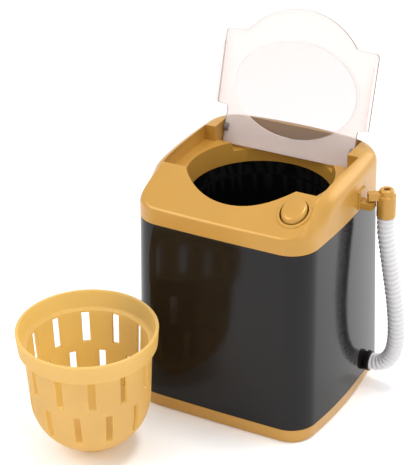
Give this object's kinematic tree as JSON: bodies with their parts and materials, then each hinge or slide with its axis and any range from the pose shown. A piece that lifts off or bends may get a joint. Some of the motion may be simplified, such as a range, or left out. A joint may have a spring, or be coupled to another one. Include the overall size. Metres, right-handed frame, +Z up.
{
  "type": "toy washing machine",
  "caption": "Battery-driven toy washing machine with a hinged clear lid, push button, spinning pulsator, ribbed drain hose and a loose slotted basket.",
  "frame": {"origin": "centre of the machine's foot on the table, under the tub's axis", "axes": "+Z up, +X towards the hose side, -Y towards the front panel with the button"},
  "size_m": [0.1397, 0.1637, 0.1719],
  "materials": {
    "gold_plastic": "warm metallic-gold ABS, satin moulded",
    "basket_plastic": "lighter gold polypropylene, satin",
    "black_plastic": "black ABS, high gloss",
    "tub_plastic": "black polypropylene, satin",
    "clear_plastic": "clear moulded styrene with a faint pink tint",
    "hose_white": "white flexible ribbed plastic",
    "screw_steel": "zinc-plated screw",
    "shaft_steel": "ground steel rod",
    "spring_steel": "drawn spring wire",
    "motor_steel": "rolled motor can",
    "contact_plate": "nickel-plated strip",
    "bush_brass": "turned bush",
    "seal_rubber": "soft black ring",
    "gear_plastic": "natural acetal",
    "bracket_plastic": "black moulded",
    "board_brown": "phenolic board",
    "battery_sleeve": "plain dark green sleeve",
    "lead_red_pvc": "soft insulation",
    "lead_yellow_pvc": "soft insulation",
    "lead_black_pvc": "soft insulation"
  },
  "bodies": {
    "machine": {"base": "gold_plastic", "outer_shell": "black_plastic", "top_cover": "gold_plastic", "tub": "tub_plastic", "tub_screws": "screw_steel", "base_screws": "screw_steel", "shaft_bush": "bush_brass", "shaft_seal": "seal_rubber", "motor_bracket": "bracket_plastic", "bracket_screws": "screw_steel", "motor_can": "motor_steel", "motor_end_cap": "gear_plastic", "button_spring": "spring_steel", "switch_body": "bracket_plastic", "switch_board": "board_brown", "board_screws": "screw_steel", "battery_front": "battery_sleeve", "battery_rear": "battery_sleeve", "contact_bridge": "contact_plate", "contact_tabs": "contact_plate", "contact_springs": "spring_steel", "drain_tube": "hose_white", "drain_nozzle": "black_plastic", "drain_hose": "hose_white", "hose_cap": "gold_plastic", "lead_red": "lead_red_pvc", "lead_yellow": "lead_yellow_pvc", "lead_black": "lead_black_pvc"},
    "lid": {"lid": "clear_plastic"},
    "button": {"push_button": "gold_plastic", "switch_plunger": "gear_plastic"},
    "agitator": {"pulsator": "tub_plastic", "pulsator_shaft": "shaft_steel", "drive_gear": "gear_plastic"},
    "rotor": {"motor_shaft": "shaft_steel", "motor_pinion": "gear_plastic"},
    "door": {"battery_door": "gold_plastic", "door_screw": "screw_steel"},
    "basket": {"basket": "basket_plastic"}
  },
  "joints": [
    {"name": "lid_hinge", "type": "hinge", "parent": "machine", "child": "lid", "pos_m": [0, 0.029, 0.1138], "axis": [1, 0, 0], "range_deg": [0, 107]},
    {"name": "button_press", "type": "slide", "parent": "machine", "child": "button", "axis": [0, 0, -1], "range_m": [0, 0.002], "stiffness_N_per_m": 500, "springref_m": -0.0008, "deforming": ["button_spring"]},
    {"name": "pulsator_spin", "type": "hinge", "parent": "machine", "child": "agitator", "pos_m": [0, 0, 0.04], "axis": [0, 0, 1], "continuous": true},
    {"name": "rotor_spin", "type": "hinge", "parent": "machine", "child": "rotor", "pos_m": [0, 0.01445, 0.03], "axis": [0, 0, 1], "continuous": true},
    {"name": "door_off", "type": "slide", "parent": "machine", "child": "door", "axis": [0, 0, -1], "range_m": [0, 0.03]},
    {"name": "basket_lift", "type": "slide", "parent": "machine", "child": "basket", "axis": [0, 0, 1], "range_m": [0, 0.13]}
  ],
  "couplings": [
    {"joint": "rotor_spin", "follows": "pulsator_spin", "ratio": -3}
  ]
}
